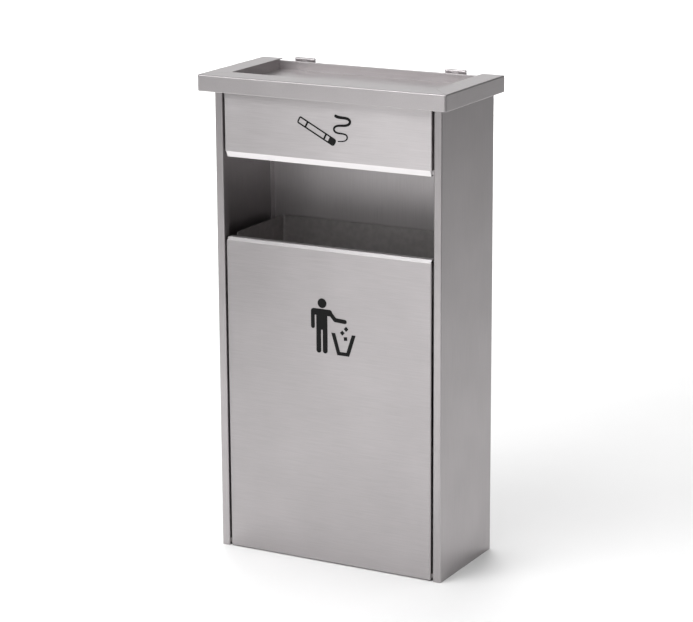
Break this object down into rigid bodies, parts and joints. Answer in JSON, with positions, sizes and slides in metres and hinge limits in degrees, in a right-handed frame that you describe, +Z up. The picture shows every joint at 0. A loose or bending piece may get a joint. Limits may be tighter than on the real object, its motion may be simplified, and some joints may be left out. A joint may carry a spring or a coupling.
{
  "type": "ashtray bin",
  "caption": "Wall-hung steel litter bin with a hinged ash tray lid, throw-in window, drop-down door and lift-out liner.",
  "frame": {"origin": "centre of the overall footprint, at the level of the lowest edges", "axes": "+Z up, +X to the right seen from the front, +Y towards the wall; the door faces -Y"},
  "size_m": [0.412, 0.194, 0.744],
  "materials": {
    "stainless": "brushed, vertical grain",
    "liner_steel": "galvanised sheet",
    "black_film": "cast vinyl film",
    "hinge_steel": "rolled stainless",
    "pin_steel": "turned stainless",
    "plated_steel": "zinc plated",
    "catch_plastic": "moulded",
    "magnet": "sintered ferrite",
    "washer_steel": "stamped stainless",
    "buffer_rubber": "moulded"
  },
  "bodies": {
    "housing": {"left_side_panel": "stainless", "right_side_panel": "stainless", "back_panel": "stainless", "base_plate": "stainless", "fascia": "stainless", "cigarette_mark": "black_film", "left_hinge_fixed_leaf": "hinge_steel", "right_hinge_fixed_leaf": "hinge_steel", "left_hinge_pin": "pin_steel", "right_hinge_pin": "pin_steel", "fixed_leaf_rivets": "pin_steel", "left_catch_bracket": "plated_steel", "right_catch_bracket": "plated_steel", "left_catch_housing": "catch_plastic", "right_catch_housing": "catch_plastic", "catch_magnets": "magnet", "catch_screws": "pin_steel", "left_pivot_pin": "pin_steel", "right_pivot_pin": "pin_steel", "left_pivot_washer": "washer_steel", "right_pivot_washer": "washer_steel", "lid_buffers": "buffer_rubber"},
    "ash_tray": {"tray_rim": "stainless", "ash_pan": "stainless", "left_hinge_moving_leaf": "hinge_steel", "right_hinge_moving_leaf": "hinge_steel", "moving_leaf_rivets": "pin_steel"},
    "door": {"door_panel": "stainless", "litter_mark": "black_film", "left_strike_plate": "plated_steel", "right_strike_plate": "plated_steel", "strike_rivets": "pin_steel"},
    "liner": {"inner_liner": "liner_steel"}
  },
  "joints": [
    {"name": "lid_hinge", "type": "hinge", "parent": "housing", "child": "ash_tray", "pos_m": [0, 0.0933, 0.7415], "axis": [-1, 0, 0], "range_deg": [0, 90]},
    {"name": "door_hinge", "type": "hinge", "parent": "housing", "child": "door", "pos_m": [0, -0.07, 0.008], "axis": [1, 0, 0], "range_deg": [0, 90]},
    {"name": "liner_lift", "type": "slide", "parent": "housing", "child": "liner", "axis": [0, 0, 1], "range_m": [0, 0.1]}
  ]
}
